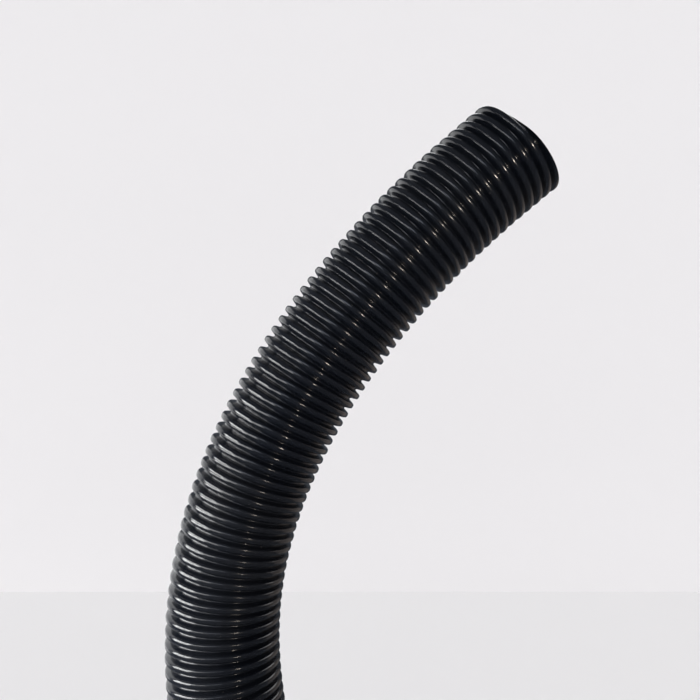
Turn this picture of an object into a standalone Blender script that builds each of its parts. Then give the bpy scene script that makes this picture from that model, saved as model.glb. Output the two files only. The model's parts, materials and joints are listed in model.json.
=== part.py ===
"""Pool vacuum hose: an open free end, a tied coil and a swivel cuff. Blender 4.5, metres, +Z up."""

import math

import bmesh
import bpy
import numpy as np
from mathutils import Matrix, Vector

# ---------------------------------------------------------------- driving sizes
HOSE_OD = 0.046             # over the crests of the ribs
HOSE_BORE = 0.038           # smooth inside
GAP = 0.0003                # between pieces that touch

COIL_MIDDLE_RADIUS = 0.253  # middle of the wound turns, 11 hose diameters across
COIL_CENTRE = (0.0022, -0.0024)  # centres the whole hose on the origin
VALLEY_RUN_ON = 35.0        # how far each turn's arc runs into the valley beside it, degrees

TIE_WIDTH = 0.020
TIE_THICKNESS = 0.0012
TIE_CLEARANCE = 0.0009      # strap to coil
TIE_ANGLES = (45.0, 205.0, 305.0)

BUCKLE_LENGTH = 0.015       # along the strap
BUCKLE_SIDE = 0.0030        # frame beside the strap
BUCKLE_FACE = 0.0013        # frame above and below the strap

POCKET_DEPTH = 0.028        # length of hose inside the collar
COLLAR_WALL = 0.0029
NOSE_RADIUS = 0.0214        # the collar's nose, on which the cuff turns
NOSE_BORE = 0.0178
NOSE_LENGTH = 0.026
SHOULDER = 0.002            # solid step behind the hose's end
GROOVE_DEPTH = 0.0018
SEAL_SECTION = 0.0015
SEAL_PLACE = 0.0085         # middle of the seal's groove, along the nose
CLIP_THICKNESS = 0.0016
CLIP_PLACE = 0.0215         # middle of the clip's groove, along the nose
CLIP_STAND = 0.0018         # how far the clip stands out of the nose
CLIP_OPENING = 0.012        # width of the gap in the split clip
WASHER_THICKNESS = 0.0009
WASHER_WIDTH = 0.0038
HUB_WALL = 0.0050
HUB_LENGTH = 0.031
TAPER_LENGTH = 0.010
SOCKET_BORE = 0.0193        # takes a 38 mm pipe
SOCKET_WALL = 0.0035
SOCKET_DEPTH = 0.040
STOP_LIP = 0.0012           # stands in from the socket's bore
STOP_LENGTH = 0.002
CHAMFER = 0.0006
GRIP_RIBS = 16
GRIP_HEIGHT = 0.0009
GRIP_WIDTH = 0.0022

TUBE_RESOLUTION = 4         # 12 sides
TURN_STEPS = 64

# The hose's own way from the top of the coil to its open end, chosen by hand, from the middle of
# the top turn where that is furthest in +Y.
STANDING_ROUTE = (
    (0.1789, -0.0741, 0.0002),
    (0.1265, -0.0339, 0.0002),
    (0.0859, -0.0151, 0.0013),
    (0.0432, -0.0030, 0.0093),
    (0.0025, 0.0041, 0.0264),
    (-0.0343, 0.0085, 0.0518),
    (-0.0649, 0.0122, 0.0846),
    (-0.0876, 0.0152, 0.1231),
    (-0.1035, 0.0190, 0.1735),
    (-0.1059, 0.0219, 0.2121),
    (-0.0989, 0.0239, 0.2512),
    (-0.0836, 0.0255, 0.2886),
    (-0.0622, 0.0266, 0.3233),
    (-0.0361, 0.0273, 0.3552),
    (-0.0068, 0.0277, 0.3842),
    (0.0164, 0.0278, 0.4039),
)
# The way to the cuff, from the middle of the outer turn where that is furthest in -X.
LEAD_ROUTE = (
    (0.0000, 0.0000, 0.0000),
    (0.0000, 0.0400, 0.0000),
    (0.0000, 0.0850, 0.0004),
    (0.0000, 0.1250, 0.0018),
    (0.0000, 0.1580, 0.0033),
    (0.0000, 0.1860, 0.0036),
    (0.0000, 0.2150, 0.0036),
)
RISER_START = 0.190         # distances along the standing route
FLEX_START = 0.398
FLEX_LENGTH = 0.120
MOUTH_LENGTH = 0.060
LEAD_START = 0.125          # along the lead route
TIGHTEST_BEND = 0.160       # of the middle line

# ---------------------------------------------------------------- sizes that follow
HOSE_R = HOSE_OD / 2
BORE_R = HOSE_BORE / 2
END_RUN = GAP * TIGHTEST_BEND / HOSE_OD  # straight run at a tube's end, so that its neighbour clears it
LIFT = TIE_THICKNESS + TIE_CLEARANCE
INNER_TURN = (COIL_MIDDLE_RADIUS - HOSE_R, LIFT + HOSE_R)
OUTER_TURN = (COIL_MIDDLE_RADIUS + HOSE_R, LIFT + HOSE_R)
TOP_TURN = (COIL_MIDDLE_RADIUS, LIFT + HOSE_R + HOSE_OD * math.sin(math.radians(60)))

POCKET_R = HOSE_R + GAP
COLLAR_R = POCKET_R + COLLAR_WALL
COLLAR_LENGTH = POCKET_DEPTH + SHOULDER
NOSE_END = COLLAR_LENGTH + NOSE_LENGTH
GROOVE_R = NOSE_RADIUS - GROOVE_DEPTH
WASHER_START = COLLAR_LENGTH + GAP
HUB_START = WASHER_START + WASHER_THICKNESS + GAP
HUB_BORE = NOSE_RADIUS + GAP
HUB_R = HUB_BORE + HUB_WALL
CLIP_R = NOSE_RADIUS + CLIP_STAND
CLIP_MIDDLE = COLLAR_LENGTH + CLIP_PLACE
SEAL_MIDDLE = COLLAR_LENGTH + SEAL_PLACE
SOCKET_R = SOCKET_BORE + SOCKET_WALL


# ---------------------------------------------------------------- scene and materials
def clear_scene():
    for obj in list(bpy.data.objects):
        bpy.data.objects.remove(obj, do_unlink=True)


def new_collection(name):
    group = bpy.data.collections.new(name)
    bpy.context.scene.collection.children.link(group)
    return group


def new_material(name, color, roughness, metallic=0.0):
    mat = bpy.data.materials.new(name)
    mat.use_nodes = True
    shader = mat.node_tree.nodes["Principled BSDF"]
    shader.inputs["Base Color"].default_value = (*color, 1.0)
    shader.inputs["Roughness"].default_value = roughness
    shader.inputs["Metallic"].default_value = metallic
    mat.diffuse_color = (*color, 1.0)
    return mat


# ---------------------------------------------------------------- routes
def natural_spline(places, per_span):
    """Cubic spline through the places, whose bend changes smoothly and fades at both ends."""
    chord = np.linalg.norm(np.diff(places, axis=0), axis=1)
    slope = np.diff(places, axis=0) / chord[:, None]
    count = len(places)
    system = np.eye(count)
    right = np.zeros((count, 3))
    for i in range(1, count - 1):
        system[i, i - 1:i + 2] = chord[i - 1], 2 * (chord[i - 1] + chord[i]), chord[i]
        right[i] = 6 * (slope[i] - slope[i - 1])
    bend = np.linalg.solve(system, right)
    out = []
    for i in range(count - 1):
        for t in np.linspace(0.0, 1.0, per_span, endpoint=False):
            sag = ((1 - t) ** 3 - (1 - t)) * bend[i] + (t ** 3 - t) * bend[i + 1]
            out.append((1 - t) * places[i] + t * places[i + 1] + sag * chord[i] ** 2 / 6)
    return [*out, places[-1]]


class Route:
    """A smooth line through chosen points, which can be read at a distance from its start."""

    def __init__(self, chosen, origin, per_span=40):
        places = np.array(chosen) + np.array(origin)
        self.points = [Vector(place) for place in natural_spline(places, per_span)]
        self.distances = [0.0]
        for a, b in zip(self.points, self.points[1:]):
            self.distances.append(self.distances[-1] + (b - a).length)
        self.length = self.distances[-1]

    def at(self, distance):
        for i in range(len(self.points) - 1):
            if self.distances[i + 1] >= distance:
                share = (distance - self.distances[i]) / (self.distances[i + 1] - self.distances[i])
                return self.points[i].lerp(self.points[i + 1], share)
        return self.points[-1].copy()

    def stretch(self, start, end, spacing=0.030):
        """Points from start to end, with a short straight run at each end."""
        count = max(1, round((end - start) / spacing))
        inner = [start + (end - start) * i / count for i in range(1, count)]
        return [self.at(d) for d in (start, start + END_RUN, *inner, end - END_RUN, end)]


# ---------------------------------------------------------------- shapes
def modifier(obj, kind, **settings):
    mod = obj.modifiers.new(kind.title(), kind)
    for key, value in settings.items():
        setattr(mod, key, value)


def add_object(name, data, group, mat=None):
    obj = bpy.data.objects.new(name, data)
    group.objects.link(obj)
    if mat:
        data.materials.append(mat)
    return obj


def tube_curve(name, points, radius, group, mat=None):
    data = bpy.data.curves.new(name, "CURVE")
    data.dimensions = "3D"
    data.bevel_depth = radius
    data.bevel_resolution = TUBE_RESOLUTION
    data.use_fill_caps = True
    spline = data.splines.new("POLY")
    spline.points.add(len(points) - 1)
    for point, place in zip(spline.points, points):
        point.co = (*place, 1.0)
    return add_object(name, data, group, mat)


def as_mesh(curve_obj, group, mat=None):
    """Replace a capped tube curve with the same closed mesh, ready for a cut."""
    bpy.context.view_layer.update()
    ready = curve_obj.evaluated_get(bpy.context.evaluated_depsgraph_get())
    data = bpy.data.meshes.new_from_object(ready)
    data.transform(curve_obj.matrix_world)
    name = curve_obj.name
    bpy.data.objects.remove(curve_obj, do_unlink=True)
    work = bmesh.new()
    work.from_mesh(data)
    bmesh.ops.remove_doubles(work, verts=work.verts, dist=0.00001)
    bmesh.ops.recalc_face_normals(work, faces=work.faces)
    work.to_mesh(data)
    work.free()
    data.materials.clear()
    return add_object(name, data, group, mat)


def arc(centre, radius, start, end, count=8):
    """Points on an arc of a section, from start to end in degrees."""
    angles = [math.radians(start + (end - start) * i / count) for i in range(count + 1)]
    return [(centre[0] + radius * math.cos(a), centre[1] + radius * math.sin(a)) for a in angles]


def turned(name, outline, group, mat=None):
    """Turn a closed (radius, height) outline about Z; it runs down the outer side first."""
    data = bpy.data.meshes.new(name)
    count = len(outline)
    edges = [(i, (i + 1) % count) for i in range(count)]
    data.from_pydata([(r, 0.0, z) for r, z in outline], edges, [])
    obj = add_object(name, data, group, mat)
    modifier(obj, "SCREW", axis="Z", angle=math.tau, steps=TURN_STEPS, render_steps=TURN_STEPS,
             use_merge_vertices=True, merge_threshold=0.0001)
    return obj


def box(name, size, group, mat=None, place=(0.0, 0.0, 0.0)):
    data = bpy.data.meshes.new(name)
    work = bmesh.new()
    bmesh.ops.create_cube(work, size=1.0)
    bmesh.ops.scale(work, vec=size, verts=work.verts)
    bmesh.ops.translate(work, vec=place, verts=work.verts)
    work.to_mesh(data)
    work.free()
    return add_object(name, data, group, mat)


def combine(obj, tool, operation):
    """Cut or join with a hidden tool object."""
    tool.hide_render = True
    tool.display_type = "WIRE"
    modifier(obj, "BOOLEAN", operation=operation, solver="EXACT", object=tool)


# ---------------------------------------------------------------- the wound coil and its ties
def coil_outline(grow=0.0):
    """Section of three turns, two on the floor and one in the groove between them."""
    radius = HOSE_R + grow
    run = VALLEY_RUN_ON
    return (arc(TOP_TURN, radius, 90, 30 - run) + arc(OUTER_TURN, radius, 30 + run, -90, 12)
            + arc(INNER_TURN, radius, -90, -210 - run, 12) + arc(TOP_TURN, radius, 150 + run, 90)[:-1])


def make_coil(name, group, mat, grow=0.0):
    coil = turned(name, coil_outline(grow), group, mat)
    coil.location = (*COIL_CENTRE, 0.0)
    return coil


def section_placement(angle, place=(0.0, 0.0), lean=0.0):
    """Matrix that stands a local XY section on the coil's radius at an angle, leaned in its plane."""
    out = Matrix.Translation((*COIL_CENTRE, 0.0)) @ Matrix.Rotation(math.radians(angle), 4, "Z")
    out = out @ Matrix.Rotation(math.pi / 2, 4, "X") @ Matrix.Translation((*place, 0.0))
    return out @ Matrix.Rotation(math.radians(lean), 4, "Z")


def tie_outline(radius):
    return (arc(TOP_TURN, radius, 150, 30, 12) + arc(OUTER_TURN, radius, 30, -90, 12)
            + arc(INNER_TURN, radius, -90, -210, 12))


def make_tie(number, angle, group, mat):
    data = bpy.data.curves.new(f"coil_tie_{number}", "CURVE")
    data.dimensions = "2D"
    data.fill_mode = "BOTH"
    data.extrude = TIE_WIDTH / 2
    inside = HOSE_R + TIE_CLEARANCE
    for radius in (inside, inside + TIE_THICKNESS):
        outline = tie_outline(radius)
        spline = data.splines.new("POLY")
        spline.points.add(len(outline) - 1)
        for point, (x, y) in zip(spline.points, outline):
            point.co = (x, y, 0.0, 1.0)
        spline.use_cyclic_u = True
    tie = add_object(data.name, data, group, mat)
    tie.matrix_world = section_placement(angle)


def make_buckle(number, angle, group, cutters, mat):
    """Frame on the strap's sloping outer run, with the strap through its slot."""
    slot = TIE_THICKNESS + 2 * GAP
    width = TIE_WIDTH + 2 * GAP
    size = (slot + 2 * BUCKLE_FACE, BUCKLE_LENGTH, width + 2 * BUCKLE_SIDE)
    lean = math.radians(30)
    stand = HOSE_R + TIE_CLEARANCE + TIE_THICKNESS / 2
    place = ((TOP_TURN[0] + OUTER_TURN[0]) / 2 + stand * math.cos(lean),
             (TOP_TURN[1] + OUTER_TURN[1]) / 2 + stand * math.sin(lean))
    buckle = box(f"tie_buckle_{number}", size, group, mat)
    hole = box(f"cut_buckle_{number}", (slot, 2 * BUCKLE_LENGTH, width), cutters)
    buckle.matrix_world = section_placement(angle, place, 30)
    hole.matrix_world = buckle.matrix_world
    modifier(buckle, "BEVEL", width=CHAMFER, segments=2)
    combine(buckle, hole, "DIFFERENCE")


# ---------------------------------------------------------------- the hose where it isn't coiled
def make_standing_hose(group, cutters, mat):
    route = Route(STANDING_ROUTE, (COIL_CENTRE[0], COIL_CENTRE[1] + TOP_TURN[0], TOP_TURN[1]))
    flex_end = FLEX_START + FLEX_LENGTH
    mouth_start = route.length - MOUTH_LENGTH
    stretches = (("hose_riser", RISER_START, FLEX_START), ("hose_flex", FLEX_START, flex_end),
                 ("hose_upper", flex_end, mouth_start), ("hose_mouth", mouth_start, route.length))
    for name, start, end in stretches:
        points = route.stretch(start + GAP / 2, end - GAP / 2)
        tube = tube_curve(name, points, HOSE_R, group, mat)
        if name == "hose_riser":
            riser = as_mesh(tube, group, mat)
            combine(riser, make_coil("cut_riser_foot", cutters, None, GAP), "DIFFERENCE")
        if name == "hose_mouth":
            mouth = as_mesh(tube, group, mat)
            bore_points = [2 * points[0] - points[1], *points, 2 * points[-1] - points[-2]]
            bore = as_mesh(tube_curve("cut_mouth_bore", bore_points, BORE_R, cutters), cutters)
            combine(mouth, bore, "DIFFERENCE")


def make_lead(route, group, cutters, mat):
    tube = tube_curve("hose_lead", route.stretch(LEAD_START, route.length), HOSE_R, group, mat)
    lead = as_mesh(tube, group, mat)
    combine(lead, make_coil("cut_lead_start", cutters, None, GAP), "DIFFERENCE")


# ---------------------------------------------------------------- the swivel cuff
def groove(middle, width):
    """A square groove round the nose, listed down the outer side."""
    top = middle + width / 2 + GAP
    bottom = middle - width / 2 - GAP
    return [(NOSE_RADIUS, top), (GROOVE_R, top), (GROOVE_R, bottom), (NOSE_RADIUS, bottom)]


def make_collar(group, mat):
    outline = [(NOSE_RADIUS - CHAMFER, NOSE_END), (NOSE_RADIUS, NOSE_END - CHAMFER)]
    outline += groove(CLIP_MIDDLE, CLIP_THICKNESS) + groove(SEAL_MIDDLE, SEAL_SECTION)
    outline += [(NOSE_RADIUS, COLLAR_LENGTH), (COLLAR_R - CHAMFER, COLLAR_LENGTH),
                (COLLAR_R, COLLAR_LENGTH - CHAMFER), (COLLAR_R, CHAMFER), (COLLAR_R - CHAMFER, 0.0),
                (POCKET_R, 0.0), (POCKET_R, POCKET_DEPTH), (NOSE_BORE, POCKET_DEPTH),
                (NOSE_BORE, NOSE_END)]
    return turned("cuff_collar", outline, group, mat)


def make_washer(group, mat):
    inside = NOSE_RADIUS + GAP
    top = WASHER_START + WASHER_THICKNESS
    outline = [(inside + WASHER_WIDTH, top), (inside + WASHER_WIDTH, WASHER_START),
               (inside, WASHER_START), (inside, top)]
    return turned("slip_washer", outline, group, mat)


def make_seal(group, mat):
    middle = (GROOVE_R + GAP + SEAL_SECTION / 2, SEAL_MIDDLE)
    return turned("seal_ring", arc(middle, SEAL_SECTION / 2, 90, -270, 12)[:-1], group, mat)


def make_clip(group, cutters, mat):
    top = CLIP_MIDDLE + CLIP_THICKNESS / 2
    bottom = CLIP_MIDDLE - CLIP_THICKNESS / 2
    inside = GROOVE_R + GAP
    outline = [(CLIP_R, top), (CLIP_R, bottom), (inside, bottom), (inside, top)]
    clip = turned("retaining_clip", outline, group, mat)
    split = box("cut_clip_split", (2 * CLIP_R, CLIP_OPENING, 4 * CLIP_THICKNESS), cutters,
                place=(CLIP_R, 0.0, CLIP_MIDDLE))
    combine(clip, split, "DIFFERENCE")
    return clip, split


def make_swivel(group, cutters, mat):
    recess_start = CLIP_MIDDLE - CLIP_THICKNESS / 2 - GAP
    recess_r = CLIP_R + GAP
    recess_end = NOSE_END + 2 * GAP
    stop_end = recess_end + STOP_LENGTH
    end = stop_end + SOCKET_DEPTH
    hub_end = HUB_START + HUB_LENGTH
    outline = [(SOCKET_R - CHAMFER, end), (SOCKET_R, end - CHAMFER), (SOCKET_R, hub_end + TAPER_LENGTH),
               (HUB_R, hub_end), (HUB_R, HUB_START + CHAMFER), (HUB_R - CHAMFER, HUB_START),
               (HUB_BORE, HUB_START), (HUB_BORE, recess_start), (recess_r, recess_start),
               (recess_r, recess_end), (SOCKET_BORE - STOP_LIP, recess_end),
               (SOCKET_BORE - STOP_LIP, stop_end), (SOCKET_BORE, stop_end),
               (SOCKET_BORE, end - CHAMFER), (SOCKET_BORE + CHAMFER, end)]
    swivel = turned("swivel_cuff", outline, group, mat)
    grips = bmesh.new()
    size = (2 * GRIP_HEIGHT, GRIP_WIDTH, HUB_LENGTH - 6 * CHAMFER)
    for i in range(GRIP_RIBS):
        verts = bmesh.ops.create_cube(grips, size=1.0)["verts"]
        bmesh.ops.scale(grips, vec=size, verts=verts)
        bmesh.ops.translate(grips, vec=(HUB_R, 0.0, HUB_START + HUB_LENGTH / 2), verts=verts)
        turn = Matrix.Rotation(math.tau * (i + 0.5) / GRIP_RIBS, 3, "Z")
        bmesh.ops.rotate(grips, cent=(0, 0, 0), matrix=turn, verts=verts)
    data = bpy.data.meshes.new("add_grip_ribs")
    grips.to_mesh(data)
    grips.free()
    ribs = add_object(data.name, data, cutters)
    combine(swivel, ribs, "UNION")
    return swivel, ribs


def make_cuff(hose_end, group, cutters, mats):
    axis = bpy.data.objects.new("cuff_axis", None)
    group.objects.link(axis)
    axis.location = hose_end + Vector((0.0, GAP - POCKET_DEPTH, 0.0))
    axis.rotation_euler = (-math.pi / 2, 0.0, 0.0)
    pieces = [make_collar(group, mats["cuff"]), make_washer(group, mats["nylon"]),
              make_seal(group, mats["seal"]), *make_clip(group, cutters, mats["clip"]),
              *make_swivel(group, cutters, mats["cuff"])]
    for piece in pieces:
        piece.parent = axis


# ---------------------------------------------------------------- assembly
def build():
    clear_scene()
    group = new_collection("vacuum_hose")
    cutters = new_collection("cutters")
    mats = {
        "hose": new_material("hose_plastic", (0.020, 0.021, 0.024), 0.25),
        "cuff": new_material("cuff_plastic", (0.030, 0.030, 0.032), 0.45),
        "seal": new_material("seal_rubber", (0.015, 0.015, 0.015), 0.60),
        "nylon": new_material("washer_nylon", (0.75, 0.74, 0.70), 0.40),
        "clip": new_material("clip_steel", (0.62, 0.62, 0.60), 0.30, 1.0),
        "strap": new_material("tie_webbing", (0.025, 0.026, 0.030), 0.90),
        "buckle": new_material("buckle_plastic", (0.020, 0.020, 0.022), 0.35),
    }
    make_coil("hose_coil", group, mats["hose"])
    make_standing_hose(group, cutters, mats["hose"])
    lead = Route(LEAD_ROUTE, (COIL_CENTRE[0] - OUTER_TURN[0], COIL_CENTRE[1], OUTER_TURN[1]))
    make_lead(lead, group, cutters, mats["hose"])
    make_cuff(lead.points[-1], group, cutters, mats)
    for number, angle in enumerate(TIE_ANGLES, start=1):
        make_tie(number, angle, group, mats["strap"])
        make_buckle(number, angle, group, cutters, mats["buckle"])


build()
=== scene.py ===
# %% [markdown]
# # A ribbed vacuum hose, wound up and standing
# This hose carries air and water from a pool's vacuum head to its pump. It is one long plastic
# tube with round ribs on the outside, which let it bend without closing. Five metres of it are
# wound and tied. One end stands up and is cut off plain, and the other has a swivel cuff.
# We first load the fixed frame, because every size and joint is already settled there.

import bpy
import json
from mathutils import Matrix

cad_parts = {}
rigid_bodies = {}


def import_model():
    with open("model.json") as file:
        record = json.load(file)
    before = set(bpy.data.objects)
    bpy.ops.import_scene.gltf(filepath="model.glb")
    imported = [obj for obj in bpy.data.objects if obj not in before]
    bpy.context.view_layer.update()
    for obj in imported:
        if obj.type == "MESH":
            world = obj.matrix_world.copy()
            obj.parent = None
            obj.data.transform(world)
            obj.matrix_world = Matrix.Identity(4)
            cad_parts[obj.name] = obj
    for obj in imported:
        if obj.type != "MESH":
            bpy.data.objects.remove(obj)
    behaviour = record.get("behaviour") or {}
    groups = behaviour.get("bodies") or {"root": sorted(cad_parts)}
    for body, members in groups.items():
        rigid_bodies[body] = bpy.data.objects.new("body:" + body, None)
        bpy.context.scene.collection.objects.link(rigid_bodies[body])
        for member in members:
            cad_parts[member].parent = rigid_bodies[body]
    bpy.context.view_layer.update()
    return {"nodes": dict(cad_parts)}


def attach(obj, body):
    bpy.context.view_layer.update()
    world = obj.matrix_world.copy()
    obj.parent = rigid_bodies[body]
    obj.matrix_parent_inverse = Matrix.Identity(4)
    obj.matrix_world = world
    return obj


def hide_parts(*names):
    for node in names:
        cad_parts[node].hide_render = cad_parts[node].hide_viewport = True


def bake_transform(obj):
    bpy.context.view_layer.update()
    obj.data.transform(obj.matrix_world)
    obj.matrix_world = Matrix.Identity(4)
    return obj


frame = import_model()

# %% Tools used all through
import json
import math

import bpy
import numpy as np
from mathutils import Vector

scene = bpy.context.scene
print("Blender", bpy.app.version_string)

# %% [markdown]
# # The camera
# The camera stands level inside the wound coil and looks at the standing end from close by, so
# the hose grows wider towards the bottom of the view. A longer lens from further off would show
# it with even width. The coil lies below the lower edge of the view.

# %% Set up the camera
camera_data = bpy.data.cameras.new("camera")
SENSOR_WIDTH = 36.0
LENS = 32.914
camera_data.sensor_width = SENSOR_WIDTH
camera_data.lens = LENS
camera = bpy.data.objects.new("camera", camera_data)
CAMERA_PLACE = (-0.0523, 0.0112, 0.3839)
camera.location = CAMERA_PLACE
camera.rotation_euler = (math.radians(90), 0.0, 0.0)
scene.collection.objects.link(camera)
scene.camera = camera
print("camera at", tuple(round(v, 4) for v in camera.location), "lens", LENS, "mm")

# %% [markdown]
# # The way the hose lies
# A hose is a fixed length of tube, so its middle line comes first and everything is swept along
# it. It could be a Bezier curve drawn by hand, but the turns of a coil are exact circles, so a
# loop works them out: an outer turn, a crossing to an inner turn, and a climb over that crossing
# to a turn on top. The two free ends keep their chosen points, which start from the coil's turns.

# %% Sizes of the hose and its coil, in metres
HOSE_OD = 0.046
HOSE_BORE = 0.038
HOSE_R = HOSE_OD / 2
COIL_MIDDLE_RADIUS = 0.253
COIL_CENTRE = (0.0022, -0.0024)
STRAP_THICKNESS = 0.0012
STRAP_CLEARANCE = 0.0009
LIFT = STRAP_THICKNESS + STRAP_CLEARANCE
INNER_TURN = (COIL_MIDDLE_RADIUS - HOSE_R, LIFT + HOSE_R)
OUTER_TURN = (COIL_MIDDLE_RADIUS + HOSE_R, LIFT + HOSE_R)
TOP_TURN = (COIL_MIDDLE_RADIUS, LIFT + HOSE_R + HOSE_OD * math.sin(math.radians(60)))
print("turn centres (radius, height):", OUTER_TURN, INNER_TURN, TOP_TURN)

# %% Chosen points of the two free ends
STANDING_ROUTE = (
    (0.1789, -0.0741, 0.0002),
    (0.1265, -0.0339, 0.0002),
    (0.0859, -0.0151, 0.0013),
    (0.0432, -0.0030, 0.0093),
    (0.0025, 0.0041, 0.0264),
    (-0.0343, 0.0085, 0.0518),
    (-0.0649, 0.0122, 0.0846),
    (-0.0876, 0.0152, 0.1231),
    (-0.1035, 0.0190, 0.1735),
    (-0.1059, 0.0219, 0.2121),
    (-0.0989, 0.0239, 0.2512),
    (-0.0836, 0.0255, 0.2886),
    (-0.0622, 0.0266, 0.3233),
    (-0.0361, 0.0273, 0.3552),
    (-0.0068, 0.0277, 0.3842),
    (0.0164, 0.0278, 0.4039),
)
LEAD_ROUTE = (
    (0.0000, 0.0000, 0.0000),
    (0.0000, 0.0400, 0.0000),
    (0.0000, 0.0850, 0.0004),
    (0.0000, 0.1250, 0.0018),
    (0.0000, 0.1580, 0.0033),
    (0.0000, 0.1860, 0.0036),
    (0.0000, 0.2150, 0.0036),
)
standing_points = np.array(STANDING_ROUTE) + (COIL_CENTRE[0], COIL_CENTRE[1] + TOP_TURN[0], TOP_TURN[1])
lead_points = np.array(LEAD_ROUTE) + (COIL_CENTRE[0] - OUTER_TURN[0], COIL_CENTRE[1], OUTER_TURN[1])
print("chosen points:", len(standing_points), "standing,", len(lead_points), "leading to the cuff")

# %% Turns of the coil, worked out by a loop
CROSS_START = 420.0
CROSS_TURN = 120.0
CLIMB_START = CROSS_START + 360.0
TOP_END = 1125.0
TURN_STEP = 7.5


def ease(share):
    """Smooth step from 0 to 1."""
    share = min(max(share, 0.0), 1.0)
    return share * share * (3 - 2 * share)


def turn_place(angle):
    """Radius and height of the hose's middle at an angle counted through all the turns."""
    crossed = ease((angle - CROSS_START) / CROSS_TURN)
    radius = OUTER_TURN[0] - HOSE_OD * crossed
    if angle <= CLIMB_START:
        return radius, OUTER_TURN[1]
    share = ease((angle - CLIMB_START) / CROSS_TURN)
    below = OUTER_TURN[0] - HOSE_OD * share
    rise = math.radians(120.0 * share)
    return below - HOSE_OD * math.cos(rise), OUTER_TURN[1] + HOSE_OD * math.sin(rise)


coil_points = []
for step in range(1, round((TOP_END - 180.0) / TURN_STEP) + 1):
    angle = 180.0 + step * TURN_STEP
    radius, height = turn_place(angle)
    turn = math.radians(angle)
    coil_points.append((COIL_CENTRE[0] + radius * math.cos(turn),
                        COIL_CENTRE[1] + radius * math.sin(turn), height))
hose_points = np.vstack([lead_points[::-1], coil_points, standing_points[1:]])
print("points on the whole hose:", len(hose_points))

# %% One smooth middle line through all the points


def natural_spline(places, per_span):
    """Cubic spline through the places, whose bend changes smoothly."""
    chord = np.linalg.norm(np.diff(places, axis=0), axis=1)
    slope = np.diff(places, axis=0) / chord[:, None]
    count = len(places)
    system = np.eye(count)
    right = np.zeros((count, 3))
    for i in range(1, count - 1):
        system[i, i - 1:i + 2] = chord[i - 1], 2 * (chord[i - 1] + chord[i]), chord[i]
        right[i] = 6 * (slope[i] - slope[i - 1])
    bend = np.linalg.solve(system, right)
    out = []
    for i in range(count - 1):
        for t in np.linspace(0.0, 1.0, per_span, endpoint=False):
            sag = ((1 - t) ** 3 - (1 - t)) * bend[i] + (t ** 3 - t) * bend[i + 1]
            out.append((1 - t) * places[i] + t * places[i + 1] + sag * chord[i] ** 2 / 6)
    return np.array([*out, places[-1]])


middle_line = natural_spline(hose_points, 20)
steps = np.linalg.norm(np.diff(middle_line, axis=0), axis=1)
distances = np.concatenate([[0.0], np.cumsum(steps)])
HOSE_LENGTH = float(distances[-1])
print("hose length", round(HOSE_LENGTH, 3), "m")

# %% [markdown]
# # Directions that don't twist
# To sweep a ring along the line we need two side directions at each place. Blender's curves can
# work them out, but then the ribs couldn't be shaped ring by ring. Reflecting the side direction
# from each place to the next carries it along with no twist.

# %% Carry the side directions along the line
tangents = np.gradient(middle_line, distances, axis=0)
tangents /= np.linalg.norm(tangents, axis=1)[:, None]
sides = np.zeros_like(middle_line)
sides[0] = (0.0, 0.0, 1.0)
for i in range(len(middle_line) - 1):
    gap = middle_line[i + 1] - middle_line[i]
    size = gap @ gap
    side = sides[i] - 2 / size * (gap @ sides[i]) * gap
    ahead = tangents[i] - 2 / size * (gap @ tangents[i]) * gap
    swing = tangents[i + 1] - ahead
    if swing @ swing > 1e-18:
        side = side - 2 / (swing @ swing) * (swing @ side) * swing
    side = side - (side @ tangents[i + 1]) * tangents[i + 1]
    sides[i + 1] = side / np.linalg.norm(side)


def frames_at(along):
    """Places, and two side directions, at distances along the hose."""
    def read(values):
        return np.stack([np.interp(along, distances, values[:, k]) for k in range(3)], axis=1)

    place, ahead, side = read(middle_line), read(tangents), read(sides)
    ahead /= np.linalg.norm(ahead, axis=1)[:, None]
    side -= np.sum(side * ahead, axis=1)[:, None] * ahead
    side /= np.linalg.norm(side, axis=1)[:, None]
    return place, side, np.cross(ahead, side)


print("side directions at the mouth:", frames_at(np.array([HOSE_LENGTH]))[1].round(3))

# %% [markdown]
# # From rings to a mesh
# Every tube here is a grid of rings. One helper turns such a grid into a mesh, smooth shaded,
# and stores on each point how far along and around the hose it lies. The finishes read
# that stored place, so dust and scratches stay on the hose when it bends.

# %% A helper that sweeps rings into a mesh


def sweep_rings(name, along, radii, around, loop=False):
    """Mesh of rings: along is a (rows, around) grid of distances, radii the same for radius."""
    rows = along.shape[0]
    turn = np.linspace(0.0, math.tau, around, endpoint=False)
    place, side, up = frames_at(along.ravel())
    spin = np.tile(turn, rows)[:, None]
    out = np.cos(spin) * side + np.sin(spin) * up
    points = place + radii.ravel()[:, None] * out
    lying = np.stack([along.ravel(), radii.ravel() * np.cos(spin[:, 0]),
                      radii.ravel() * np.sin(spin[:, 0])], axis=1)
    row_count = rows if loop else rows - 1
    i, j = np.meshgrid(np.arange(row_count), np.arange(around), indexing="ij")
    i2, j2 = (i + 1) % rows, (j + 1) % around
    quads = np.stack([i * around + j, i * around + j2, i2 * around + j2, i2 * around + j], axis=-1)
    quads = quads.reshape(-1, 4)
    data = bpy.data.meshes.new(name)
    data.vertices.add(len(points))
    data.vertices.foreach_set("co", points.ravel())
    data.loops.add(quads.size)
    data.loops.foreach_set("vertex_index", quads.ravel().astype(np.int32))
    data.polygons.add(len(quads))
    data.polygons.foreach_set("loop_start", np.arange(0, quads.size, 4, dtype=np.int32))
    data.update(calc_edges=True)
    data.validate()
    data.shade_smooth()
    kept = data.attributes.new("hose_place", "FLOAT_VECTOR", "POINT")
    kept.data.foreach_set("vector", lying.ravel())
    obj = bpy.data.objects.new(name, data)
    scene.collection.objects.link(obj)
    return obj


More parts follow.
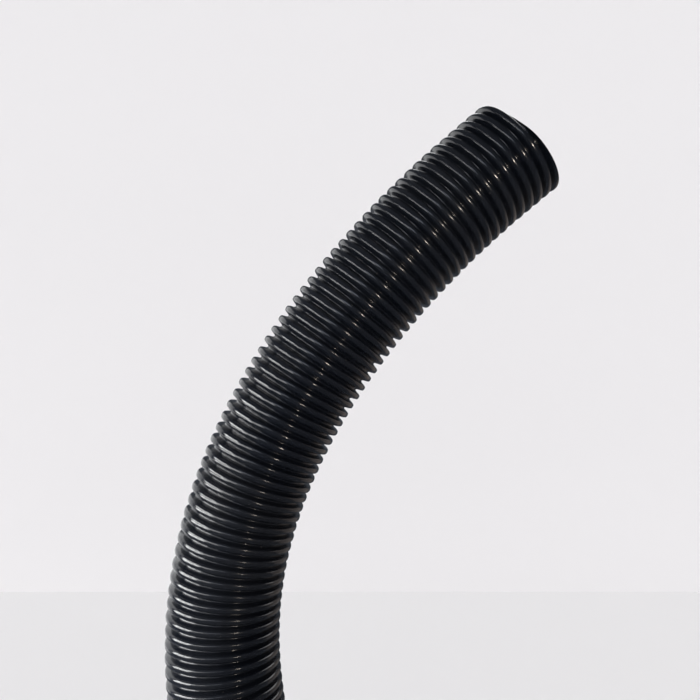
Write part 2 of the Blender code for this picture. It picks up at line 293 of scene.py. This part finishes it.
print("ready to sweep", round(HOSE_LENGTH, 2), "m of rings")

# %% [markdown]
# # The cut end
# The standing end is cut with a knife, a little askew to the ribs, as a hand cut is. A helper
# says where the hose stops at each place around it, and both the wall and the ribs end there.

# %% Where the hose is cut
CUT_LEAN = 0.0030           # from the earliest to the last point of the cut
RIB_PITCH = 0.0047
CUT_TOWARDS = np.array([0.637, 0.0, -0.770])    # the lower side runs on furthest


def cut_distance(around):
    """How far the hose reaches at each place around it."""
    turn = np.linspace(0.0, math.tau, around, endpoint=False)
    _, side, up = frames_at(np.array([HOSE_LENGTH]))
    facing = np.cos(turn) * (side[0] @ CUT_TOWARDS) + np.sin(turn) * (up[0] @ CUT_TOWARDS)
    return HOSE_LENGTH - CUT_LEAN * (1 - facing) / 2


print("the cut spans", round(1000 * np.ptp(cut_distance(64)), 2), "mm")

# %% [markdown]
# # The smooth inner wall
# Inside the ribs the hose has a plain smooth wall, so that water and leaves don't catch. It is a
# thin tube that is open at both ends, with its rims turned in.

# %% Make the inner wall
WALL_OUT = 0.0199
BORE_R = HOSE_BORE / 2
WALL_AROUND = 40
WALL_SPACING = 0.008
RIM = 0.0003                # how far the rims turn in
CUT_BLEND = 0.03            # the last stretch, over which the rings lean into the cut
wall_rows = np.linspace(0.0, HOSE_LENGTH, round(HOSE_LENGTH / WALL_SPACING))
row_list = [*wall_rows[:-1], HOSE_LENGTH - RIM, HOSE_LENGTH, HOSE_LENGTH, HOSE_LENGTH - RIM,
            *wall_rows[-2::-1]]
radius_list = ([WALL_OUT] * len(wall_rows) + [WALL_OUT - RIM, BORE_R + RIM]
               + [BORE_R] * len(wall_rows))
wall_along = np.repeat(np.array(row_list)[:, None], WALL_AROUND, axis=1)
past_cut = HOSE_LENGTH - cut_distance(WALL_AROUND)
near_end = np.clip((wall_along - (HOSE_LENGTH - CUT_BLEND)) / CUT_BLEND, 0.0, 1.0)
wall_along = wall_along - near_end * past_cut[None, :]
wall_radii = np.repeat(np.array(radius_list)[:, None], WALL_AROUND, axis=1)
hose_wall = sweep_rings("hose_wall", wall_along, wall_radii, WALL_AROUND, loop=True)
print("inner wall:", len(hose_wall.data.polygons), "faces")

# %% [markdown]
# # The ribs
# The ribs are separate rings, not a thread: each goes straight round. Each has a broad rounded
# crest and steep sides that meet in a narrow valley. We shape one rib as a curve of height
# against distance, then repeat it along the hose. No two ribs cool alike in
# the mould, so each gets its own slight height and place.

# %% The shape of one rib
RIB_FOOT = 0.0200
RIB_HEIGHT = 0.00295
rib_random = np.random.default_rng(12)
rib_count = int(HOSE_LENGTH / RIB_PITCH) + 3
rib_shift = rib_random.normal(0.0, 0.03, rib_count)
rib_scale = 1.0 + rib_random.normal(0.0, 0.012, rib_count)


def rib_height(along):
    """Height of the ribs over their foot at distances along the hose."""
    number = np.floor(along / RIB_PITCH).astype(int)
    number = np.clip(number, 0, rib_count - 1)
    across = along / RIB_PITCH - number - 0.5 - rib_shift[number] * 0.5
    share = np.abs(across) / 0.5
    body = 1.0 / (1.0 + np.exp((share - 0.66) / 0.085))
    return RIB_HEIGHT * rib_scale[number] * (1 - 0.16 * share ** 2) * body


print("rib heights across one pitch, mm:", (1000 * rib_height(np.linspace(1.0, 1.0047, 9))).round(2))

# %% Sweep the ribs, finest where the eye comes close


def make_ribs(name, start, end, per_pitch, around, cut=False):
    """Ribbed skin from start to end, whose last row turns in to the wall."""
    count = round((end - start) / RIB_PITCH * per_pitch)
    along = np.repeat(np.linspace(start, end, count + 1)[:, None], around, axis=1)
    if cut:
        along = np.minimum(along, cut_distance(around)[None, :])
    radii = RIB_FOOT + rib_height(along)
    along = np.vstack([along[:1], along, along[-1:], along[-1:]])
    inner = np.full((1, around), RIB_FOOT - 0.0004)
    radii = np.vstack([inner, radii, radii[-1:] - 0.0002, inner])
    return sweep_rings(name, along, radii, around)


FINE_LENGTH = 0.4512        # a whole number of ribs
fine_start = HOSE_LENGTH - FINE_LENGTH
third = round(fine_start / RIB_PITCH / 3) * RIB_PITCH
standing_ribs = make_ribs("hose_ribs_standing", fine_start, HOSE_LENGTH, 12, 64, cut=True)
wound_ribs = [make_ribs("hose_ribs_outer", 0.0, third, 6, 32),
              make_ribs("hose_ribs_middle", third, 2 * third, 6, 32),
              make_ribs("hose_ribs_top", 2 * third, fine_start, 6, 32)]
for obj in (standing_ribs, *wound_ribs):
    print(obj.name, len(obj.data.polygons), "faces")

# %% [markdown]
# # The hose's plastic
# The hose is blown from black polyethylene, so it is glossy but never quite even. A plain black
# gloss shader would look like lacquer. Slow bumps and small dents make the shine wander, a fine
# grain breaks its edge, and dust lies on it in small specks and in thin patches.

# %% A small kit for building finishes


def new_finish(name):
    """An empty finish with its shader and its node maker."""
    finish = bpy.data.materials.new(name)
    finish.use_nodes = True
    nodes = finish.node_tree.nodes
    links = finish.node_tree.links
    shader = nodes["Principled BSDF"]

    def add(kind, inputs=None, **settings):
        node = nodes.new("ShaderNode" + kind)
        for key, value in settings.items():
            setattr(node, key, value)
        for key, value in (inputs or {}).items():
            if hasattr(value, "links"):
                links.new(value, node.inputs[key])
            else:
                node.inputs[key].default_value = value
        return node

    return finish, shader, add, links


print("finish kit ready")

# %% The glossy black plastic
hose_finish, shader, add, links = new_finish("hose_gloss")
place = add("Attribute", attribute_name="hose_place")
slow = add("TexNoise", {"Vector": place.outputs["Vector"], "Scale": 55.0, "Detail": 3.0})
fine = add("TexNoise", {"Vector": place.outputs["Vector"], "Scale": 900.0, "Detail": 4.0})
specks = add("TexNoise", {"Vector": place.outputs["Vector"], "Scale": 620.0, "Detail": 1.0})
speck_edge = add("MapRange", {"Value": specks.outputs["Fac"], "From Min": 0.76, "From Max": 0.80})
patches = add("TexNoise", {"Vector": place.outputs["Vector"], "Scale": 30.0, "Detail": 5.0})
film = add("MapRange", {"Value": patches.outputs["Fac"], "From Min": 0.45, "From Max": 0.80,
                        "To Min": 0.0, "To Max": 0.25})
dust = add("Math", {0: speck_edge.outputs["Result"], 1: film.outputs["Result"]}, operation="MAXIMUM")
colour = add("Mix", {"Factor": dust.outputs["Value"], "A": (0.0066, 0.0080, 0.0116, 1.0),
                     "B": (0.030, 0.029, 0.028, 1.0)}, data_type="RGBA")
links.new(colour.outputs["Result"], shader.inputs["Base Color"])
rough = add("MapRange", {"Value": patches.outputs["Fac"], "From Min": 0.3, "From Max": 0.75,
                         "To Min": 0.14, "To Max": 0.24})
links.new(rough.outputs["Result"], shader.inputs["Roughness"])
bump_slow = add("Bump", {"Height": slow.outputs["Fac"], "Strength": 0.5, "Distance": 0.0006})
dents = add("TexNoise", {"Vector": place.outputs["Vector"], "Scale": 260.0, "Detail": 2.0})
bump_dents = add("Bump", {"Height": dents.outputs["Fac"], "Strength": 0.5, "Distance": 0.00012,
                          "Normal": bump_slow.outputs["Normal"]})
bump_fine = add("Bump", {"Height": fine.outputs["Fac"], "Strength": 0.2, "Distance": 0.00006,
                         "Normal": bump_dents.outputs["Normal"]})
links.new(bump_fine.outputs["Normal"], shader.inputs["Normal"])
for obj in (hose_wall, standing_ribs, *wound_ribs):
    obj.data.materials.append(hose_finish)
print("hose finish on", 2 + len(wound_ribs), "pieces")

# %% [markdown]
# # Where the hose bends
# The frame bends the free end at one hinge in the middle of a short springy stretch. A real hose
# bends over a longer way, and its ribs open on one side and close on the other. Here the ends of
# that stretch are only found on the hose. The skin and the inner wall stay where they are laid and
# don't follow the hinge, and the wound ribs ride on the base.

# %% Tie the hose to the frame
FLEX_FROM = 0.398           # the springy stretch, along the standing route
FLEX_TO = 0.518
STANDING_LENGTH = 0.6621
standing_start = HOSE_LENGTH - STANDING_LENGTH
flex_ends = frames_at(np.array([standing_start + FLEX_FROM, standing_start + FLEX_TO]))[0]
for obj in (hose_wall, standing_ribs):
    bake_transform(obj)
for obj in wound_ribs:
    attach(obj, "base")
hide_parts("hose_coil", "hose_riser", "hose_flex", "hose_upper", "hose_mouth", "hose_lead")

# %% [markdown]
# # The straps that tie the coil
# Each tie is a band of woven webbing, pulled round the three turns and through a plastic frame.
# Webbing is flat in the middle and thinner at its woven edges. It could be a bevelled curve, but
# a sweep of our own lets the edges scallop and the free end lie on top of the band.

# %% The way a strap goes round the turns
STRAP_WIDTH = 0.0200
STRAP_ANGLES = (45.0, 205.0, 305.0)
STRAP_MIDDLE = HOSE_R + STRAP_CLEARANCE + STRAP_THICKNESS / 2


def strap_route(runs, lift, spacing=0.0025):
    """Places in the coil's section with the side that faces out, from (centre, start, end) arcs."""
    places = []
    for centre, start, end in runs:
        count = max(2, round(math.radians(abs(end - start)) * STRAP_MIDDLE / spacing))
        for i in range(count + 1):
            facing = math.radians(start + (end - start) * i / count)
            out = np.array([math.cos(facing), math.sin(facing)])
            place = np.array(centre) + out * (STRAP_MIDDLE + lift)
            if places and np.linalg.norm(place - places[-1][0]) > 1.5 * spacing:
                before = places[-1][0]
                gaps = round(np.linalg.norm(place - before) / spacing)
                places += [(before + (place - before) * k / gaps, out) for k in range(1, gaps)]
            places.append((place, out))
    return places


whole_band = ((TOP_TURN, 150, 30), (OUTER_TURN, 30, -90), (INNER_TURN, -90, -210))
print("places round one strap:", len(strap_route(whole_band, 0.0)))

# %% Sweep one strap
SCALLOP_DEPTH = 0.008       # as a share of the width
SCALLOP_PITCH = 0.0050
TIP_WIDTHS = (0.97, 0.90, 0.70)


def make_strap(name, angle, route, closed):
    """Woven band along a route in the coil's section at an angle."""
    turn = math.radians(angle)
    outward = np.array([math.cos(turn), math.sin(turn), 0.0])
    across = np.array([-math.sin(turn), math.cos(turn), 0.0])
    centre = np.array([COIL_CENTRE[0], COIL_CENTRE[1], 0.0])
    half = STRAP_THICKNESS / 2
    half_width = STRAP_WIDTH / 2
    upper = [(-1.0, 0.35), (-0.96, 0.85), (-0.85, 1.0), (-0.45, 1.0), (0.0, 1.0), (0.45, 1.0),
             (0.85, 1.0), (0.96, 0.85), (1.0, 0.35)]
    section = upper + [(w, -t) for w, t in reversed(upper)]
    places, lying, along = [], [], 0.0
    for number, (place, out) in enumerate(route):
        if number:
            along += float(np.linalg.norm(place - route[number - 1][0]))
        scallop = 1.0 + SCALLOP_DEPTH * math.sin(along * math.tau / SCALLOP_PITCH)
        if closed:
            taper = 1.0
        else:
            from_tip = number - len(route) + len(TIP_WIDTHS)
            taper = 1.0 if from_tip < 0 else TIP_WIDTHS[from_tip]
        for w, t in section:
            flat = place + out * t * half
            spot = (centre + outward * flat[0] + np.array([0, 0, flat[1]])
                    + across * w * half_width * scallop * taper)
            places.append(spot)
            lying.append((along, w * half_width, t * half))
    sides = len(section)
    rows = len(route)
    faces = []
    for i in range(rows if closed else rows - 1):
        for j in range(sides):
            i2, j2 = (i + 1) % rows, (j + 1) % sides
            faces.append((i * sides + j, i * sides + j2, i2 * sides + j2, i2 * sides + j))
    if not closed:
        faces += [tuple(range(sides))[::-1], tuple(range((rows - 1) * sides, rows * sides))]
    data = bpy.data.meshes.new(name)
    data.from_pydata([tuple(p) for p in places], [], faces)
    data.validate()
    kept = data.attributes.new("strap_place", "FLOAT_VECTOR", "POINT")
    kept.data.foreach_set("vector", np.array(lying).ravel())
    data.shade_smooth()
    obj = bpy.data.objects.new(name, data)
    scene.collection.objects.link(obj)
    return obj


straps, tails = [], []
for number, angle in enumerate(STRAP_ANGLES, start=1):
    straps.append(make_strap(f"strap_{number}", angle, strap_route(whole_band, 0.0), True))
    tail_band = ((TOP_TURN, 30.5, 30), (OUTER_TURN, 30, -34 - 6 * number))
    tail_route = strap_route(tail_band, STRAP_THICKNESS + 0.0001)[12:]
    tails.append(make_strap(f"strap_tail_{number}", angle, tail_route, False))
for obj in (*straps, *tails):
    print(obj.name, len(obj.data.polygons), "faces")

# %% [markdown]
# # Webbing
# Webbing is woven from thick black yarn: ribs run across it and fine rows along it. A picture of
# cloth would need its own file, so two crossed waves raise the yarns, and a little noise frays
# their brightness.

# %% The woven black webbing
webbing, shader, add, links = new_finish("woven_webbing")
place = add("Attribute", attribute_name="strap_place")
yarns = add("TexWave", {"Vector": place.outputs["Vector"], "Scale": 210.0, "Distortion": 0.6,
                        "Detail": 1.0, "Detail Scale": 3.0}, wave_type="BANDS", bands_direction="X")
rows = add("TexWave", {"Vector": place.outputs["Vector"], "Scale": 260.0, "Distortion": 0.4},
           wave_type="BANDS", bands_direction="Y")
weave = add("Math", {0: yarns.outputs["Fac"], 1: rows.outputs["Fac"]}, operation="MULTIPLY")
fray = add("TexNoise", {"Vector": place.outputs["Vector"], "Scale": 400.0, "Detail": 4.0})
tone = add("Math", {0: weave.outputs["Value"], 1: fray.outputs["Fac"]}, operation="MULTIPLY")
colour = add("Mix", {"Factor": tone.outputs["Value"], "A": (0.005, 0.005, 0.006, 1.0),
                     "B": (0.050, 0.051, 0.056, 1.0)}, data_type="RGBA")
links.new(colour.outputs["Result"], shader.inputs["Base Color"])
bump = add("Bump", {"Height": weave.outputs["Value"], "Strength": 0.9, "Distance": 0.0003})
links.new(bump.outputs["Normal"], shader.inputs["Normal"])
shader.inputs["Roughness"].default_value = 0.82
shader.inputs["Sheen Weight"].default_value = 0.10
shader.inputs["Sheen Roughness"].default_value = 0.4
for number, (strap, tail) in enumerate(zip(straps, tails), start=1):
    for obj in (strap, tail):
        obj.data.materials.append(webbing)
        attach(obj, "base")
    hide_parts(f"coil_tie_{number}")
print("webbing on", len(straps) + len(tails), "pieces")

# %% [markdown]
# # Moulded plastic, rubber, nylon and steel
# The cuff and the strap frames are injection moulded. Their skin is satin, with a fine spark
# grain from the mould and scuffs from being handled. The frame's own solids have the right
# shapes, so they only get better finishes.

# %% A maker for satin moulded plastic


def moulded(name, dark, light, rough_low, rough_high, grain_depth):
    """Satin plastic with mould grain, rubbed patches and fine scuffs."""
    finish, shader, add, links = new_finish(name)
    place = add("TexCoord")
    rubbed = add("TexNoise", {"Vector": place.outputs["Object"], "Scale": 60.0, "Detail": 5.0})
    grain = add("TexNoise", {"Vector": place.outputs["Object"], "Scale": 2200.0, "Detail": 2.0})
    long_way = add("Mapping", {"Vector": place.outputs["Object"], "Scale": (900.0, 60.0, 900.0)})
    scuffs = add("TexNoise", {"Vector": long_way.outputs["Vector"], "Scale": 1.0, "Detail": 3.0})
    scuffed = add("MapRange", {"Value": scuffs.outputs["Fac"], "From Min": 0.62, "From Max": 0.74})
    worn = add("Math", {0: scuffed.outputs["Result"], 1: rubbed.outputs["Fac"]}, operation="MULTIPLY")
    colour = add("Mix", {"Factor": worn.outputs["Value"], "A": (*dark, 1.0), "B": (*light, 1.0)},
                 data_type="RGBA")
    links.new(colour.outputs["Result"], shader.inputs["Base Color"])
    rough = add("MapRange", {"Value": rubbed.outputs["Fac"], "From Min": 0.3, "From Max": 0.7,
                             "To Min": rough_low, "To Max": rough_high})
    links.new(rough.outputs["Result"], shader.inputs["Roughness"])
    bump = add("Bump", {"Height": grain.outputs["Fac"], "Strength": 0.5, "Distance": grain_depth})
    links.new(bump.outputs["Normal"], shader.inputs["Normal"])
    return finish


cuff_finish = moulded("cuff_satin", (0.012, 0.012, 0.013), (0.060, 0.059, 0.057), 0.34, 0.52,
                      0.00005)
frame_finish = moulded("strap_frame_satin", (0.016, 0.016, 0.018), (0.070, 0.070, 0.070), 0.28,
                       0.42, 0.00003)
seal_finish = moulded("seal_rubber_matt", (0.012, 0.012, 0.012), (0.040, 0.040, 0.040), 0.55,
                      0.72, 0.00002)
print("moulded finishes ready")

# %% Nylon washer and spring steel clip
nylon, shader, add, links = new_finish("natural_nylon")
place = add("TexCoord")
cloud = add("TexNoise", {"Vector": place.outputs["Object"], "Scale": 120.0, "Detail": 4.0})
colour = add("Mix", {"Factor": cloud.outputs["Fac"], "A": (0.78, 0.77, 0.72, 1.0),
                     "B": (0.66, 0.64, 0.58, 1.0)}, data_type="RGBA")
links.new(colour.outputs["Result"], shader.inputs["Base Color"])
shader.inputs["Roughness"].default_value = 0.42
shader.inputs["Subsurface Weight"].default_value = 0.15
shader.inputs["Subsurface Radius"].default_value = (0.001, 0.001, 0.001)

steel, shader, add, links = new_finish("spring_steel")
place = add("TexCoord")
round_way = add("Mapping", {"Vector": place.outputs["Object"], "Scale": (300.0, 6000.0, 300.0)})
brushed = add("TexNoise", {"Vector": round_way.outputs["Vector"], "Scale": 1.0, "Detail": 3.0})
rough = add("MapRange", {"Value": brushed.outputs["Fac"], "To Min": 0.20, "To Max": 0.45})
links.new(rough.outputs["Result"], shader.inputs["Roughness"])
bump = add("Bump", {"Height": brushed.outputs["Fac"], "Strength": 0.2, "Distance": 0.00001})
links.new(bump.outputs["Normal"], shader.inputs["Normal"])
shader.inputs["Base Color"].default_value = (0.60, 0.60, 0.58, 1.0)
shader.inputs["Metallic"].default_value = 1.0
finishes = {"cuff_collar": cuff_finish, "swivel_cuff": cuff_finish, "slip_washer": nylon,
            "seal_ring": seal_finish, "retaining_clip": steel, "tie_buckle_1": frame_finish,
            "tie_buckle_2": frame_finish, "tie_buckle_3": frame_finish}
for name, finish in finishes.items():
    frame["nodes"][name].material_slots[0].material = finish
print("finishes on", list(finishes))

# %% [markdown]
# # The floor and the wall behind
# A pale matt floor meets a pale wall. They only have to be plain, so each is one large
# sheet with a faint grain, wide enough that no edge shows from any side.

# %% Make the floor and the wall
WALL_PLACE = 1.0265


def make_sheet(name, corners, tone):
    """A plain square sheet with a faint grain."""
    data = bpy.data.meshes.new(name)
    data.from_pydata(corners, [], [(0, 1, 2, 3)])
    obj = bpy.data.objects.new(name, data)
    scene.collection.objects.link(obj)
    finish, shader, add, links = new_finish(name + "_finish")
    grain = add("TexNoise", {"Scale": 60.0, "Detail": 6.0})
    spread = add("MapRange", {"Value": grain.outputs["Fac"], "To Min": 0.99, "To Max": 1.01})
    colour = add("Mix", {"Factor": 1.0, "A": (*tone, 1.0), "B": spread.outputs["Result"]},
                 data_type="RGBA", blend_type="MULTIPLY")
    links.new(colour.outputs["Result"], shader.inputs["Base Color"])
    shader.inputs["Roughness"].default_value = 0.9
    data.materials.append(finish)
    obj.visible_glossy = False
    return obj


floor = make_sheet("floor", [(-60, -60, 0), (60, -60, 0), (60, WALL_PLACE, 0), (-60, WALL_PLACE, 0)],
                   (0.80, 0.79, 0.79))
wall = make_sheet("back_wall", [(-60, WALL_PLACE, 0), (60, WALL_PLACE, 0), (60, WALL_PLACE, 20),
                                (-60, WALL_PLACE, 20)], (0.870, 0.852, 0.856))
print("floor and wall ready")

# %% [markdown]
# # Light
# A glossy black tube shows its lights more than itself, so each light is placed for the mark that
# it leaves on the ribs. A tall window on the left is built from panes, each aimed at its own
# height of the hose, so that the shine is strong low down and weak higher up. One small warm lamp
# on the right leaves the row of spots. The room in front is dark, so the tube stays black.
# The wound turns have two boxes above them, and the floor and the wall have a sun of their own.
# Each light reaches only its own pieces, as a studio does with flags.

# %% Sort what each light may reach
lit_pieces = bpy.data.collections.new("lit_pieces")
lit_coil = bpy.data.collections.new("lit_coil")
lit_stage = bpy.data.collections.new("lit_stage")
for obj in scene.objects:
    if obj.type == "MESH":
        (lit_stage if obj in (floor, wall) else lit_pieces).objects.link(obj)
        if obj not in (floor, wall, standing_ribs):
            lit_coil.objects.link(obj)

# %% Set the lights
LOW_SPOT = Vector((-0.09, 0.27, 0.175))
MIDDLE_SPOT = Vector((-0.10, 0.275, 0.33))
HIGH_SPOT = Vector((-0.03, 0.28, 0.42))
COIL_FRONT = Vector((0.12, -0.15, 0.05))
COIL_BACK = Vector((-0.22, -0.05, 0.05))


def make_pane(name, spot, azimuth, elevation, distance, size, glow, colour=(1.0, 1.0, 1.0),
              spread=180, reaches=lit_pieces):
    """A soft rectangular light that faces a spot, from an angle to the left of the camera's side."""
    turn, rise = math.radians(azimuth), math.radians(elevation)
    away = Vector((-math.sin(turn) * math.cos(rise), -math.cos(turn) * math.cos(rise), math.sin(rise)))
    data = bpy.data.lights.new(name, "AREA")
    data.shape = "RECTANGLE"
    data.size, data.size_y = size
    data.energy = glow * size[0] * size[1] * math.pi
    data.color = colour
    data.spread = math.radians(spread)
    lamp = bpy.data.objects.new(name, data)
    lamp.location = spot + away * distance
    lamp.rotation_euler = away.to_track_quat("Z", "Y").to_euler()
    lamp.light_linking.receiver_collection = reaches
    lamp.visible_camera = False
    scene.collection.objects.link(lamp)
    return lamp


for rise in (2, 22):
    for azimuth in (62, 77, 92):
        make_pane(f"window_low_{rise}_{azimuth}", LOW_SPOT, azimuth, rise, 1.0, (0.26, 0.34), 0.44, spread=24)
for azimuth in (30, 42, 54):
    make_pane(f"window_middle_{azimuth}", MIDDLE_SPOT, azimuth, 8, 1.0, (0.22, 0.26), 0.20, spread=30)
make_pane("window_front", HIGH_SPOT, 14, 16, 1.2, (0.60, 0.26), 2.5, (0.90, 0.96, 1.10))
make_pane("pale_wall_left", MIDDLE_SPOT, 135, 5, 2.0, (1.60, 2.60), 1.1)
make_pane("brown_door_right", MIDDLE_SPOT, -128, 0, 2.0, (1.80, 2.60), 0.32, (1.0, 0.80, 0.66))
make_pane("skylight", MIDDLE_SPOT, -150, 40, 1.8, (1.40, 0.80), 2.4)
make_pane("coil_front_box", COIL_FRONT, -45, 80, 1.2, (0.90, 0.60), 1.3, spread=44, reaches=lit_coil)
make_pane("coil_back_box", COIL_BACK, 100, 62, 1.2, (0.80, 0.60), 1.3, spread=40, reaches=lit_coil)
make_pane("lamp", MIDDLE_SPOT, -36, 12, 0.50, (0.024, 0.024), 210.0, (1.0, 0.88, 0.74))

sun_data = bpy.data.lights.new("room", "SUN")
sun_data.energy = 2.6
sun_data.angle = math.radians(100)
room = bpy.data.objects.new("room", sun_data)
room.rotation_euler = (math.radians(47), 0.0, math.radians(-15))
room.light_linking.receiver_collection = lit_stage
scene.collection.objects.link(room)

# %% Sky, pale to the eye and dim on the plastic
SKY_SEEN = 0.82
SKY_GIVEN = 0.12
sky = bpy.data.worlds.new("sky")
sky.use_nodes = True
sky_nodes = sky.node_tree.nodes
sky_links = sky.node_tree.links
given = sky_nodes["Background"]
given.inputs["Color"].default_value = (0.88, 0.96, 1.12, 1.0)
given.inputs["Strength"].default_value = SKY_GIVEN
seen = sky_nodes.new("ShaderNodeBackground")
seen.inputs["Color"].default_value = (1.0, 1.0, 1.0, 1.0)
seen.inputs["Strength"].default_value = SKY_SEEN
ray = sky_nodes.new("ShaderNodeLightPath")
both = sky_nodes.new("ShaderNodeMixShader")
sky_links.new(ray.outputs["Is Camera Ray"], both.inputs["Fac"])
sky_links.new(given.outputs["Background"], both.inputs[1])
sky_links.new(seen.outputs["Background"], both.inputs[2])
sky_links.new(both.outputs["Shader"], sky_nodes["World Output"].inputs["Surface"])
scene.world = sky
scene.view_settings.view_transform = "Standard"
print("sky seen", SKY_SEEN, "given", SKY_GIVEN)
